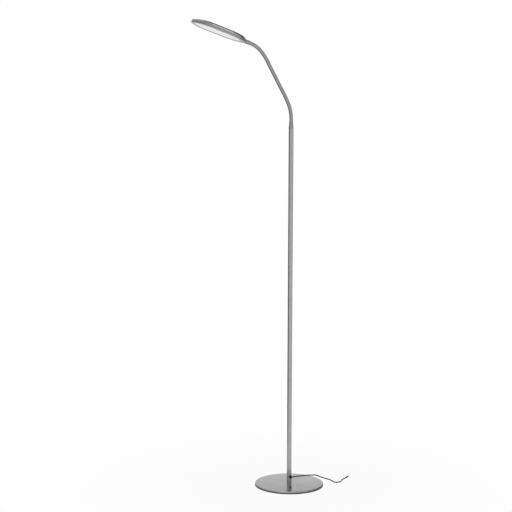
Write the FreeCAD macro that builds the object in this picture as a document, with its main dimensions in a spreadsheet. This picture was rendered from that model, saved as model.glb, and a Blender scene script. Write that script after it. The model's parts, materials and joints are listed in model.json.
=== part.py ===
import FreeCAD, Part
import math
import operator
import os
import types

import Sketcher
from FreeCAD import Placement, Rotation, Vector

# A gooseneck reading floor lamp: a round steel base, a pole of three screwed tubes, a flexible neck
# and a slim light head. Millimetres. The origin is the middle of the base's underside, +Z is up and
# the head reaches towards -Y.

SIZES = {
    # base disc, its soft pad and the bolt that holds the pole
    "disc_radius": 115.0,
    "disc_thickness": 6.0,
    "disc_chamfer": 0.7,
    "pad_radius": 109.0,
    "pad_thickness": 1.5,
    "bolt_radius": 4.0,
    "bolt_head_radius": 6.5,
    "bolt_head_height": 3.5,
    "bolt_length": 18.0,
    "bolt_socket_width": 5.0,
    "bolt_socket_depth": 2.0,
    # pole
    "pole_radius": 8.0,
    "pole_wall": 1.0,
    "pole_section": 397.5,
    "plug_height": 16.0,
    "stud_depth": 20.0,
    "stud_length": 13.0,
    "wire_hole_radius": 2.6,
    # cord, its grommet and its small connector
    "cord_radius": 2.0,
    "cord_height": 21.5,
    "grommet_radius": 5.4,
    "grommet_hole_radius": 4.0,
    "grommet_reach": 4.0,
    "grommet_bevel": 0.6,
    "lead_bend": 5.0,
    "connector_radius": 2.7,
    "connector_length": 12.0,
    "connector_tip_radius": 1.75,
    "connector_tip_length": 8.0,
    # neck: heights of the ferrule, then the line that the neck follows
    "neck_radius": 6.0,
    "neck_rise": 28.0,
    "ferrule_flare": 9.0,
    "ferrule_shoulder_radius": 6.6,
    "ferrule_spigot_length": 13.0,
    "link_pitch": 37.25,
    "low_bend_length": 72.0,
    "low_bend_angle": 31.0,
    "straight_length": 150.0,
    "high_bend_length": 76.0,
    "high_bend_angle": 42.0,
    # nose and cup between two links, and how far one may lean on the other
    "nose_radius": 3.6,
    "nose_reach": 0.6,
    "joint_lean": 31.0,
    "joint_clearance": 0.1,
    # collar at the head's end of the neck
    "collar_length": 18.0,
    "collar_radius": 6.6,
    "spigot_radius": 4.5,
    "spigot_length": 10.0,
    # light head
    "head_length": 196.0,
    "head_half_width": 33.0,
    "head_height": 16.5,
    "head_tip_radius": 19.0,
    "head_tip_shoulder": 95.0,
    "head_rear_radius": 17.0,
    "head_rear_shoulder": 110.0,
    "head_rear_slope": 26.0,
    "head_rear_drop": 4.4,
    "head_tip_slope": 50.0,
    "head_tip_drop": 6.5,
    "head_edge_bevel": 4.0,
    "shell_wall": 2.0,
    "shell_core_bevel": 3.0,
    "rib_inset": 12.0,
    "rib_width": 16.0,
    "frame_thickness": 3.2,
    "frame_edge": 0.8,
    "frame_lip": 1.2,
    "tongue_gap": 1.0,
    "tongue_thickness": 1.6,
    "tongue_width": 10.0,
    "tongue_height": 2.4,
    "window_side": 6.5,
    "window_rear": 17.5,
    "window_tip": 9.5,
    "window_step": 1.5,
    "window_rear_radius": 13.0,
    "window_rear_shoulder": 80.0,
    "neck_axis_height": 6.0,
    "boss_radius": 7.0,
    "boss_length": 14.0,
    "boss_reach": 3.0,
    "boss_chamfer": 1.0,
    "set_screw_radius": 2.0,
    "set_screw_place": 5.0,
    # light source and controls inside the head
    "diffuser_thickness": 2.0,
    "tray_height": 5.5,
    "tray_wall": 1.2,
    "tray_top": 1.0,
    "slot_width": 5.0,
    "slot_end_gap": 4.05,
    "row_offset": 8.0,
    "board_start": 60.0,
    "board_tip_gap": 18.0,
    "board_half_width": 14.0,
    "board_thickness": 1.6,
    "chip_length": 3.5,
    "chip_width": 2.8,
    "chip_height": 0.7,
    "chip_margin": 7.55,
    "control_start": 32.0,
    "control_length": 26.0,
    "control_width": 20.0,
    "control_thickness": 1.2,
    "control_rib": 1.0,
    "switch_size": 6.0,
    "switch_height": 1.5,
    "button_place": 45.0,
    "button_radius": 6.0,
    "button_proud": 0.5,
    "button_flange_radius": 7.3,
    "button_flange": 1.0,
    "screw_radius": 1.25,
    "screw_head_radius": 2.3,
    "screw_head_height": 1.5,
    "screw_length": 7.0,
    "screw_boss_radius": 3.2,
    "head_lead_radius": 1.3,
    "head_lead_bend": 2.2,
    "head_lead_start": 7.0,
    "head_lead_rise": 13.6,
    "frame_screw_place": 15.0,
    "frame_screw_offset": 16.0,
    # clearances
    "thread_clearance": 0.05,
    "slide_clearance": 0.2,
    "seat_clearance": 0.1,
}

LINK_COUNT = 8
SECTION_COUNT = 3
CHIPS_IN_ROW = 12
CORD_SIDES = 6
ARC_SHARE = 0.45
PROFILE_SPARE = 5
FLAT = 1e-6
ON_WALL = 0.05
VOLUME_SLACK = 0.01
PIECES = []

# The free cord's route over the base and the floor, chosen by hand: x, y and height above the floor.
CORD_ROUTE = (
    (22.0, 0.0, 29.0),
    (31.5, 6.5, 29.0),
    (35.0, 18.0, 28.8),
    (30.0, 36.0, 28.2),
    (19.0, 57.0, 26.5),
    (4.5, 82.0, 22.0),
    (-9.0, 107.0, 16.0),
    (-17.0, 125.5, 9.0),
    (-15.0, 139.0, 3.5),
    (-3.0, 146.5, 2.0),
    (13.0, 147.5, 2.0),
    (29.5, 149.5, 2.0),
    (42.0, 148.5, 2.0),
    (54.0, 147.8, 2.0),
    (64.5, 153.5, 2.0),
    (68.5, 165.0, 2.0),
    (63.0, 177.0, 2.0),
    (52.0, 188.0, 2.0),
    (41.0, 201.5, 2.3),
    (33.5, 213.0, 2.8),
)

document = FreeCAD.newDocument("reading_lamp")
sheet = document.addObject("Spreadsheet::Sheet", "Sizes")


class Size:
    """A dimension that is known as a number and as a formula of the sheet's cells."""

    def __init__(self, number, formula):
        self.number = float(number)
        self.formula = formula

    def joined(self, symbol, work, other):
        other = as_size(other)
        return Size(work(self.number, other.number), f"({self.formula} {symbol} {other.formula})")

    def __add__(self, other):
        return self.joined("+", operator.add, other)

    def __sub__(self, other):
        return self.joined("-", operator.sub, other)

    def __mul__(self, other):
        return self.joined("*", operator.mul, other)

    def __truediv__(self, other):
        return self.joined("/", operator.truediv, other)

    def __neg__(self):
        return Size(0, "0") - self

    def __radd__(self, other):
        return as_size(other) + self

    def __rsub__(self, other):
        return as_size(other) - self

    def __rmul__(self, other):
        return as_size(other) * self

    def __float__(self):
        return self.number


def as_size(value):
    return value if isinstance(value, Size) else Size(value, repr(float(value)))


def sine(angle):
    return Size(math.sin(math.radians(angle.number)), f"sin({angle.formula} * 1 deg)")


def cosine(angle):
    return Size(math.cos(math.radians(angle.number)), f"cos({angle.formula} * 1 deg)")


def fill_sheet():
    """Write each driving dimension in a cell of its own and return them by name."""
    named = {}
    for row, (name, number) in enumerate(SIZES.items(), start=1):
        sheet.set(f"A{row}", name)
        sheet.set(f"B{row}", str(number))
        sheet.setAlias(f"B{row}", name)
        named[name] = Size(number, "Sizes." + name)
    document.recompute()
    return types.SimpleNamespace(**named)


size = fill_sheet()


def bind(item, name, value):
    """Tie a property to the sheet."""
    value = as_size(value)
    if "." not in name:
        setattr(item, name, value.number)
    item.setExpression(name, value.formula)


def shift(item, x=0, y=0, z=0, prefix="Placement"):
    """Tie an object's place to the sheet."""
    for letter, value in (("x", x), ("y", y), ("z", z)):
        if isinstance(value, Size):
            bind(item, f"{prefix}.Base.{letter}", value)
    numbers = [float(value) for value in (x, y, z)]
    setattr(item, prefix, Placement(Vector(*numbers), getattr(item, prefix).Rotation))


def piece(item, label, place=None):
    """Name a finished sub-part and stand it in its place."""
    item.Label = label
    if place is not None:
        item.Placement = place
    PIECES.append(item)
    return item


def plane_of(body, role):
    return next(item for item in body.Origin.OriginFeatures if item.Role == role)


def new_sketch(body, plane, name, offset=0, raised=0):
    """A sketch on one of its body's origin planes, moved along the plane's normal or up in the plane."""
    sketch = body.newObject("Sketcher::SketchObject", f"{body.Name}_{name}")
    sketch.AttachmentSupport = [(plane_of(body, plane), "")]
    sketch.MapMode = "FlatFace"
    shift(sketch, 0, raised, offset, "AttachmentOffset")
    return sketch


def dimension(sketch, kind, references, value):
    """Add one driving dimension to a sketch and tie it to the sheet."""
    value = as_size(value)
    if value.number < 0:
        value = -value
        references = references[2:] + references[:2] if len(references) == 4 else references
    index = sketch.addConstraint(Sketcher.Constraint(kind, *references, value.number))
    sketch.setExpression(f"Constraints[{index}]", value.formula)


def hold(sketch, line, end, corner):
    """Fix a point of the sketch at a distance along each axis from the sketch's origin."""
    for kind, axis, value in (("DistanceX", -2, corner[0]), ("DistanceY", -1, corner[1])):
        if isinstance(value, Size) or value:
            dimension(sketch, kind, (-1, 1, line, end), value)
        else:
            sketch.addConstraint(Sketcher.Constraint("PointOnObject", line, end, axis))


def polygon(sketch, corners):
    """Draw a closed outline of straight lines whose corners are tied to the sheet."""
    points = [Vector(float(x), float(y), 0) for x, y in corners]
    first = sketch.GeometryCount
    for start, end in zip(points, points[1:] + points[:1]):
        sketch.addGeometry(Part.LineSegment(start, end))
    for index in range(len(points)):
        before = first + (index - 1) % len(points)
        sketch.addConstraint(Sketcher.Constraint("Coincident", before, 2, first + index, 1))
        hold(sketch, first + index, 1, corners[index])


def ring(x, y, radius):
    return Part.Circle(Vector(float(x), float(y), 0), Vector(0, 0, 1), float(radius))


def circle(sketch, radius, x=0, y=0):
    """Draw a circle whose radius and middle are tied to the sheet."""
    index = sketch.addGeometry(ring(x, y, radius))
    dimension(sketch, "Radius", (index,), radius)
    hold(sketch, index, 3, (x, y))


def oval(sketch, shape):
    """Draw a long rounded outline: two straight sides, four wide shoulder arcs and two end arcs."""
    half = float(shape.half_width)
    ends = {}
    for side, end, radius, shoulder in (
        (1, shape.tip, shape.tip_radius, shape.tip_shoulder),
        (-1, shape.rear, shape.rear_radius, shape.rear_shoulder),
    ):
        middle = float(end) - side * float(radius)
        reach = math.sqrt(
            (float(shoulder) - float(radius)) ** 2 - (float(shoulder) - half) ** 2
        )
        start = middle - side * reach
        turn = math.atan2(float(shoulder) - half, reach)
        ends[side] = (middle, start, turn)
    (tip_middle, tip_start, tip_turn), (rear_middle, rear_start, rear_turn) = ends[1], ends[-1]
    tip_up = ring(tip_start, half - float(shape.tip_shoulder), shape.tip_shoulder)
    tip_down = ring(tip_start, float(shape.tip_shoulder) - half, shape.tip_shoulder)
    tip = ring(tip_middle, 0, shape.tip_radius)
    rear_up = ring(rear_start, half - float(shape.rear_shoulder), shape.rear_shoulder)
    rear_down = ring(rear_start, float(shape.rear_shoulder) - half, shape.rear_shoulder)
    rear = ring(rear_middle, 0, shape.rear_radius)
    quarter = math.pi / 2
    geometry = [
        Part.LineSegment(Vector(rear_start, -half, 0), Vector(tip_start, -half, 0)),
        Part.ArcOfCircle(tip_down, -quarter, -tip_turn),
        Part.ArcOfCircle(tip, -tip_turn, tip_turn),
        Part.ArcOfCircle(tip_up, tip_turn, quarter),
        Part.LineSegment(Vector(tip_start, half, 0), Vector(rear_start, half, 0)),
        Part.ArcOfCircle(rear_up, quarter, math.pi - rear_turn),
        Part.ArcOfCircle(rear, math.pi - rear_turn, math.pi + rear_turn),
        Part.ArcOfCircle(rear_down, math.pi + rear_turn, 3 * quarter),
    ]
    first = sketch.GeometryCount
    sketch.addGeometry(geometry, False)
    count = len(geometry)
    numbers = range(first, first + count)
    line_low, down_tip, tip_arc, up_tip, line_high, up_rear, rear_arc, down_rear = numbers
    for one in range(count):
        other = first + (one + 1) % count
        sketch.addConstraint(Sketcher.Constraint("Tangent", first + one, 2, other, 1))
    sketch.addConstraint(Sketcher.Constraint("Horizontal", line_low))
    sketch.addConstraint(Sketcher.Constraint("Equal", down_tip, up_tip))
    sketch.addConstraint(Sketcher.Constraint("Equal", down_rear, up_rear))
    sketch.addConstraint(Sketcher.Constraint("PointOnObject", tip_arc, 3, -1))
    sketch.addConstraint(Sketcher.Constraint("PointOnObject", rear_arc, 3, -1))
    dimension(sketch, "Radius", (tip_arc,), shape.tip_radius)
    dimension(sketch, "Radius", (rear_arc,), shape.rear_radius)
    dimension(sketch, "Radius", (up_tip,), shape.tip_shoulder)
    dimension(sketch, "Radius", (up_rear,), shape.rear_shoulder)
    dimension(sketch, "DistanceX", (-1, 1, tip_arc, 3), shape.tip - shape.tip_radius)
    dimension(sketch, "DistanceX", (-1, 1, rear_arc, 3), shape.rear + shape.rear_radius)
    dimension(sketch, "DistanceY", (-1, 1, line_high, 1), shape.half_width)


def inset(shape, amount):
    """The same outline, drawn in evenly by an amount."""
    return types.SimpleNamespace(
        rear=shape.rear + amount,
        tip=shape.tip - amount,
        half_width=shape.half_width - amount,
        tip_radius=shape.tip_radius - amount,
        tip_shoulder=shape.tip_shoulder - amount,
        rear_radius=shape.rear_radius - amount,
        rear_shoulder=shape.rear_shoulder - amount,
    )


def pad(body, sketch, length, both=False, down=False):
    feature = body.newObject("PartDesign::Pad", f"{sketch.Name}_pad")
    feature.Profile = sketch
    bind(feature, "Length", length)
    feature.SideType = "Symmetric" if both else "One side"
    feature.Reversed = down
    return feature


def pocket(body, sketch, length, up=False, both=False):
    """Cut a sketch into its body: down along the sketch's normal, or up."""
    feature = body.newObject("PartDesign::Pocket", f"{sketch.Name}_cut")
    feature.Profile = sketch
    bind(feature, "Length", length)
    feature.SideType = "Symmetric" if both else "One side"
    feature.Reversed = up
    return feature


def revolved(label, profile):
    """An outline in radius and height, turned once about the Z axis."""
    body = document.addObject("PartDesign::Body", label)
    sketch = new_sketch(body, "XZ_Plane", "profile")
    polygon(sketch, profile)
    feature = body.newObject("PartDesign::Revolution", f"{label}_turn")
    feature.Profile = sketch
    feature.ReferenceAxis = (sketch, ["V_Axis"])
    feature.Angle = 360
    return body


def turned(label, profile, place=None):
    return piece(revolved(label, profile), label, place)


def rod(name, radius, length, z=0, x=0, y=0):
    """A plain cylinder standing on a height, for use in a boolean."""
    item = document.addObject("Part::Cylinder", name)
    bind(item, "Radius", radius)
    bind(item, "Height", length)
    shift(item, x, y, z)
    return item


def block(name, length, width, height, x=0, y=0, z=0):
    item = document.addObject("Part::Box", name)
    bind(item, "Length", length)
    bind(item, "Width", width)
    bind(item, "Height", height)
    shift(item, x, y, z)
    return item


def cut(name, base, tools):
    item = document.addObject("Part::Cut", name)
    item.Base = base
    item.Tool = tools[0] if len(tools) == 1 else together(name + "_tools", tools)
    return item


def together(name, shapes):
    item = document.addObject("Part::MultiFuse", name)
    item.Shapes = shapes
    return item


def group(name, shapes):
    item = document.addObject("Part::Compound", name)
    item.Links = shapes
    return item


def edges_at(body, keep):
    """Names of the edges of a body's last feature that a test keeps."""
    document.recompute()
    shape = body.Tip.Shape
    return [f"Edge{n}" for n, edge in enumerate(shape.Edges, start=1) if keep(edge)]


def bevel(body, amount, keep):
    """Bevel the edges that a test keeps."""
    names = edges_at(body, keep)
    base = body.Tip
    feature = body.newObject("PartDesign::Chamfer", f"{body.Name}_bevel")
    feature.Base = (base, names)
    bind(feature, "Size", amount)


def tube_path(points, bend=None):
    """Straight runs joined by tangent arcs, as large as the runs allow or of one bend, and their radii."""
    edges = []
    radii = []
    start = points[0]
    for before, corner, after in zip(points, points[1:], points[2:]):
        entry = corner - before
        leave = after - corner
        half_turn = entry.getAngle(leave) / 2
        if bend is None:
            radius = ARC_SHARE * min(entry.Length, leave.Length) / math.tan(half_turn)
        else:
            radius = float(bend)
        radii.append(radius)
        setback = radius * math.tan(half_turn)
        entry.normalize()
        leave.normalize()
        first = corner - entry * setback
        last = corner + leave * setback
        across = leave - entry
        across.normalize()
        middle = corner + across * (radius / math.cos(half_turn) - radius)
        edges.append(Part.LineSegment(start, first).toShape())
        edges.append(Part.Arc(first, middle, last).toShape())
        start = last
    edges.append(Part.LineSegment(start, points[-1]).toShape())
    return Part.Wire(edges), radii


def section(middle, direction, radius):
    """A many-sided section of a cord, square to the direction that the cord leaves in."""
    frame = Rotation(Vector(0, 0, 1), direction)
    corners = []
    for number in range(CORD_SIDES + 1):
        turn = 2 * math.pi * (number + 0.5) / CORD_SIDES
        arm = Vector(math.cos(turn), math.sin(turn), 0) * float(radius)
        corners.append(middle + frame.multVec(arm))
    return Part.makePolygon(corners)


def swept(label, path, start, direction, radius):
    """A cord along a path of straight runs and arcs, its volume held against section times length."""
    solid = path.makePipeShell([section(start, direction, radius)], True, False)
    area = CORD_SIDES / 2 * float(radius) ** 2 * math.sin(2 * math.pi / CORD_SIDES)
    expected = area * path.Length
    if abs(solid.Volume - expected) > VOLUME_SLACK * expected:
        raise ValueError(f"{label}: volume {solid.Volume:.0f}, expected {expected:.0f}")
    print(f"{label}: length {path.Length:.1f}, volume {solid.Volume:.0f}, expected {expected:.0f}")
    item = document.addObject("Part::Feature", label)
    item.Shape = solid
    return piece(item, label)


# Heights that several pieces share.
disc_top = size.pad_thickness + size.disc_thickness
pole_inner = size.pole_radius - size.pole_wall
plug_radius = pole_inner - size.thread_clearance
stud_radius = size.bolt_radius
tapped_radius = stud_radius + size.thread_clearance
stud_height = size.stud_depth + size.stud_length
pole_top = disc_top + SECTION_COUNT * size.pole_section
cord_exit = disc_top + size.cord_height
joint_gap = size.neck_radius * sine(size.joint_lean) + size.joint_clearance
cup_radius = size.nose_radius / cosine(size.joint_lean) + size.joint_clearance
cup_depth = (
    size.nose_reach * cosine(size.joint_lean)
    + size.nose_radius * sine(size.joint_lean)
    + size.joint_clearance
)


def base_pieces():
    """Disc, soft pad and the sunk bolt that draws the pole down on the disc."""
    head_top = size.pad_thickness + size.seat_clearance + size.bolt_head_height
    turned(
        "base_plate",
        (
            (size.bolt_head_radius + size.slide_clearance, size.pad_thickness),
            (size.disc_radius, size.pad_thickness),
            (size.disc_radius, disc_top - size.disc_chamfer),
            (size.disc_radius - size.disc_chamfer, disc_top),
            (size.bolt_radius + size.slide_clearance, disc_top),
            (size.bolt_radius + size.slide_clearance, head_top),
            (size.bolt_head_radius + size.slide_clearance, head_top),
        ),
    )
    piece(rod("base_pad", size.pad_radius, size.pad_thickness), "base_pad")
    bolt_low = size.pad_thickness + size.seat_clearance
    bolt = turned(
        "base_bolt",
        (
            (0, bolt_low),
            (size.bolt_head_radius, bolt_low),
            (size.bolt_head_radius, head_top),
            (size.bolt_radius, head_top),
            (size.bolt_radius, bolt_low + size.bolt_length),
            (0, bolt_low + size.bolt_length),
        ),
    )
    sketch = new_sketch(bolt, "XY_Plane", "socket", bolt_low)
    half = size.bolt_socket_width / 2
    corner = size.bolt_socket_width / math.sqrt(3)
    polygon(
        sketch,
        (
            (corner, 0),
            (corner / 2, half),
            (-corner / 2, half),
            (-corner, 0),
            (-corner / 2, -half),
            (corner / 2, -half),
        ),
    )
    pocket(bolt, sketch, size.bolt_socket_depth, up=True)


def pole_pieces():
    """Three tubes end to end; a threaded stud in the top of one screws into the plug of the next."""
    names = ("pole_lower", "pole_middle", "pole_upper")
    plugs = []
    studs = []
    for number, label in enumerate(names):
        low = disc_top + number * size.pole_section
        outer = rod(label + "_outer", size.pole_radius, size.pole_section, low)
        inner = rod(label + "_inner", pole_inner, size.pole_section, low)
        tools = [inner]
        if number == 0:
            hole = rod("grommet_hole", size.grommet_hole_radius, size.pole_radius * 2, cord_exit)
            hole.Placement = Placement(hole.Placement.Base, Rotation(Vector(0, 1, 0), 90))
            tools.append(hole)
        piece(cut(label, outer, tools), label)
        plugs.append(tapped_plug(label + "_plug", low))
        if number > 0:
            studs.append(joiner_stud(label + "_stud", low))
    plugs.append(tapped_plug("neck_plug", pole_top - size.plug_height))
    piece(group("tapped_plugs", plugs), "tapped_plugs")
    piece(group("joiner_studs", studs), "joiner_studs")


def tapped_plug(name, low):
    """The threaded plug that is pressed in the end of a tube."""
    outer = rod(name + "_body", plug_radius, size.plug_height, low)
    return cut(name, outer, [rod(name + "_bore", tapped_radius, size.plug_height, low)])


def joiner_stud(name, seam):
    """A plug whose threaded stud stands up out of the tube below a seam."""
    body = rod(name + "_body", plug_radius, size.stud_depth, seam - size.stud_depth)
    stud = rod(name + "_stud", stud_radius, size.stud_length, seam)
    bore = rod(name + "_bore", size.wire_hole_radius, stud_height, seam - size.stud_depth)
    return cut(name, together(name + "_solid", [body, stud]), [bore])


def cord_pieces():
    """Rubber grommet, the lead that climbs inside the pole, the free cord and its connector."""
    face = size.pole_radius + size.grommet_reach
    hole = size.cord_radius + size.thread_clearance
    plug = size.grommet_hole_radius - size.thread_clearance
    inside = pole_inner - size.pole_wall
    across = Placement(Vector(0, 0, float(cord_exit)), Rotation(Vector(0, 1, 0), 90))
    seat = size.pole_radius / 2
    body = revolved(
        "grommet_body",
        (
            (hole, inside),
            (plug, inside),
            (plug, seat),
            (size.grommet_radius, seat),
            (size.grommet_radius, face - size.grommet_bevel),
            (size.grommet_radius - size.grommet_bevel, face),
            (hole, face),
        ),
    )
    body.Placement = across
    saddle_radius = size.pole_radius + size.thread_clearance
    reach = size.pole_radius * 2
    saddle = rod("grommet_saddle", saddle_radius, reach * 2, cord_exit - reach)
    core = rod("grommet_core", plug, reach)
    core.Placement = across
    keep = cut("grommet_saddle_holed", saddle, [core])
    piece(cut("cord_grommet", body, [keep]), "cord_grommet")

    start = Vector(float(face), 0, float(cord_exit))
    route = [Vector(*point) for point in CORD_ROUTE]
    path, radii = tube_path([start] + route)
    swept("cord", path, start, route[0] - start, size.cord_radius)
    print("cord arc radii:", " ".join(f"{radius:.1f}" for radius in radii))
    top = Vector(0, 0, float(pole_top + size.neck_rise - joint_gap))
    bent_lead("inner_lead", (start, Vector(0, 0, start.z), top), size.lead_bend, size.cord_radius)

    along = Placement(route[-1], Rotation(Vector(0, 0, 1), route[-1] - route[-2]))
    turned(
        "cord_connector",
        (
            (0, 0),
            (size.connector_radius, 0),
            (size.connector_radius, size.connector_length),
            (0, size.connector_length),
        ),
        along,
    )
    tip_end = size.connector_length + size.connector_tip_length
    turned(
        "connector_tip",
        (
            (0, size.connector_length),
            (size.connector_tip_radius, size.connector_length),
            (size.connector_tip_radius, tip_end),
            (0, tip_end),
        ),
        along,
    )


def bent_lead(label, corners, bend, radius):
    """A lead held inside the lamp: straight runs with an arc of one radius at each corner."""
    path, _ = tube_path(corners, bend)
    return swept(label, path, corners[0], corners[1] - corners[0], radius)


def heading(distance):
    """Lean of the neck from upright, in degrees, at a distance along it from the pole."""
    low = (distance - float(size.neck_rise)) / float(size.low_bend_length)
    high_start = float(size.neck_rise + size.low_bend_length + size.straight_length)
    high = (distance - high_start) / float(size.high_bend_length)
    low_part = min(max(low, 0), 1) * float(size.low_bend_angle)
    high_part = min(max(high, 0), 1) * float(size.high_bend_angle)
    return low_part + high_part


def neck_line():
    """Joint centres of the neck and the lean of what each one carries, worked out along its bends."""
    centre = Vector(0, 0, float(pole_top + size.neck_rise))
    centres = [centre]
    leans = []
    for number in range(LINK_COUNT):
        lean = heading(float(size.neck_rise) + (number + 0.5) * float(size.link_pitch))
        leans.append(lean)
        along = Vector(0, -math.sin(math.radians(lean)), math.cos(math.radians(lean)))
        centre = centre + along * float(size.link_pitch)
        centres.append(centre)
    leans.append(float(size.low_bend_angle + size.high_bend_angle))
    return centres, leans


def nose(height):
    """Outline of the nose above a shoulder, from its foot up to the bore."""
    return (
        (size.nose_radius, height - joint_gap),
        (size.nose_radius, height + size.nose_reach),
        (size.wire_hole_radius, height + size.nose_reach),
    )


def cup(outer):
    """Outline of the cup that seats on the nose below it, from the bore down to the outer rim."""
    return (
        (size.wire_hole_radius, cup_depth),
        (cup_radius, cup_depth),
        (cup_radius, 0),
        (outer, 0),
    )


def neck_pieces():
    """Flared foot ferrule, the links of the flexible neck and the collar that carries the head."""
    rise = size.neck_rise
    turned(
        "neck_foot_ferrule",
        (
            (size.wire_hole_radius, -size.ferrule_spigot_length),
            (stud_radius, -size.ferrule_spigot_length),
            (stud_radius, 0),
            (size.pole_radius, 0),
            (size.ferrule_shoulder_radius, size.ferrule_flare),
            (size.ferrule_shoulder_radius, rise - joint_gap),
        )
        + nose(rise),
        Placement(Vector(0, 0, float(pole_top)), Rotation()),
    )
    centres, leans = neck_line()
    for number in range(LINK_COUNT):
        turned(
            f"neck_link_{number + 1:02d}",
            cup(size.neck_radius)
            + ((size.neck_radius, size.link_pitch - joint_gap),)
            + nose(size.link_pitch),
            Placement(centres[number], Rotation(Vector(1, 0, 0), leans[number])),
        )
    turned(
        "neck_collar",
        cup(size.collar_radius)
        + (
            (size.collar_radius, size.collar_length - size.boss_reach),
            (size.spigot_radius, size.collar_length - size.boss_reach),
            (size.spigot_radius, size.collar_length + size.spigot_length),
            (size.wire_hole_radius, size.collar_length + size.spigot_length),
        ),
        Placement(centres[-1], Rotation(Vector(1, 0, 0), leans[-1])),
    )
    for number, centre in enumerate(centres):
        below, above = leans[number - 1] if number else 0.0, leans[number]
        print(f"joint {number}: at {centre.y:.4f} {centre.z:.4f} lean below {below:.4f} above {above:.4f}")


def head_place():
    """Where the head's own frame stands: x to its tip, y across, z out of its top."""
    centres, leans = neck_line()
    lean = math.radians(leans[-1])
    along = Vector(0, -math.sin(lean), math.cos(lean))
    out = Vector(0, math.cos(lean), math.sin(lean))
    origin = centres[-1] + along * float(size.collar_length) - out * float(size.neck_axis_height)
    print(f"head frame: origin {origin.y:.4f} {origin.z:.4f}, tilt {90 - leans[-1]:.4f}")
    return Placement(origin, Rotation(along, Vector(1, 0, 0), out, "XYZ"))


head_outline = types.SimpleNamespace(
    rear=Size(0, "0"),
    tip=size.head_length,
    half_width=size.head_half_width,
    tip_radius=size.head_tip_radius,
    tip_shoulder=size.head_tip_shoulder,
    rear_radius=size.head_rear_radius,
    rear_shoulder=size.head_rear_shoulder,
)
window_outline = types.SimpleNamespace(
    rear=size.window_rear,
    tip=size.head_length - size.window_tip,
    half_width=size.head_half_width - size.window_side,
    tip_radius=size.head_tip_radius - size.window_side,
    tip_shoulder=size.head_tip_shoulder - size.window_side,
    rear_radius=size.window_rear_radius,
    rear_shoulder=size.window_rear_shoulder,
)
diffuser_top = size.frame_lip + size.diffuser_thickness
tray_top = diffuser_top + size.tray_height
board_top = tray_top + size.board_thickness
control_low = tray_top + size.control_rib
control_top = control_low + size.control_thickness
roof = size.head_height - size.shell_wall
board_length = size.head_length - size.board_start - size.board_tip_gap
chip_pitch = (board_length - size.chip_margin * 2 - size.chip_length) / (CHIPS_IN_ROW - 1)


def crowned(name, outline, low, drop):
    """A block of the head's outline whose top runs flat and then curves down to both ends."""
    body = document.addObject("PartDesign::Body", name)
    sketch = new_sketch(body, "XY_Plane", "plan", low)
    oval(sketch, outline)
    height = size.head_height - drop
    pad(body, sketch, height - low)
    side = new_sketch(body, "XZ_Plane", "side")
    for end, slope, fall, sign in (
        (Size(0, "0"), size.head_rear_slope, size.head_rear_drop, -1),
        (size.head_length, size.head_tip_slope, size.head_tip_drop, 1),
    ):
        crown_cut(side, end, slope, fall, sign, height)
    pocket(body, side, size.head_half_width * 3, both=True)
    return body


def crown_cut(sketch, end, slope, fall, sign, height):
    """The wedge above one end of the head: its lower side is an arc, tangent to the flat top."""
    flat = end - slope * sign
    radius = (slope * slope + fall * fall) / (2 * fall)
    beyond = float(slope) + PROFILE_SPARE
    drop = float(radius) - math.sqrt(float(radius) ** 2 - beyond**2)
    turn = math.asin(beyond / float(radius))
    rim = ring(flat, height - radius, radius)
    quarter = math.pi / 2
    angles = (quarter - turn, quarter) if sign > 0 else (quarter, quarter + turn)
    far = float(end) + sign * PROFILE_SPARE
    top = float(height) + PROFILE_SPARE
    flat_point = Vector(float(flat), float(height), 0)
    low_point = Vector(far, float(height) - drop, 0)
    first = sketch.GeometryCount
    sketch.addGeometry(Part.ArcOfCircle(rim, *angles))
    sketch.addGeometry(Part.LineSegment(low_point, Vector(far, top, 0)))
    sketch.addGeometry(Part.LineSegment(Vector(far, top, 0), Vector(float(flat), top, 0)))
    sketch.addGeometry(Part.LineSegment(Vector(float(flat), top, 0), flat_point))
    flat_end, low_end = (2, 1) if sign > 0 else (1, 2)
    meetings = ((0, low_end, 1, 1), (1, 2, 2, 1), (2, 2, 3, 1), (3, 2, 0, flat_end))
    for one, one_end, other, other_end in meetings:
        sketch.addConstraint(
            Sketcher.Constraint("Coincident", first + one, one_end, first + other, other_end)
        )
    dimension(sketch, "Radius", (first,), radius)
    hold(sketch, first, 3, (flat, height - radius))
    dimension(sketch, "DistanceX", (-1, 1, first + 1, 1), end + sign * PROFILE_SPARE)
    sketch.addConstraint(Sketcher.Constraint("Vertical", first + 1))
    hold(sketch, first + 2, 2, (flat, height + PROFILE_SPARE))
    sketch.addConstraint(Sketcher.Constraint("Horizontal", first + 2))
    sketch.addConstraint(Sketcher.Constraint("Vertical", first + 3))


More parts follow.
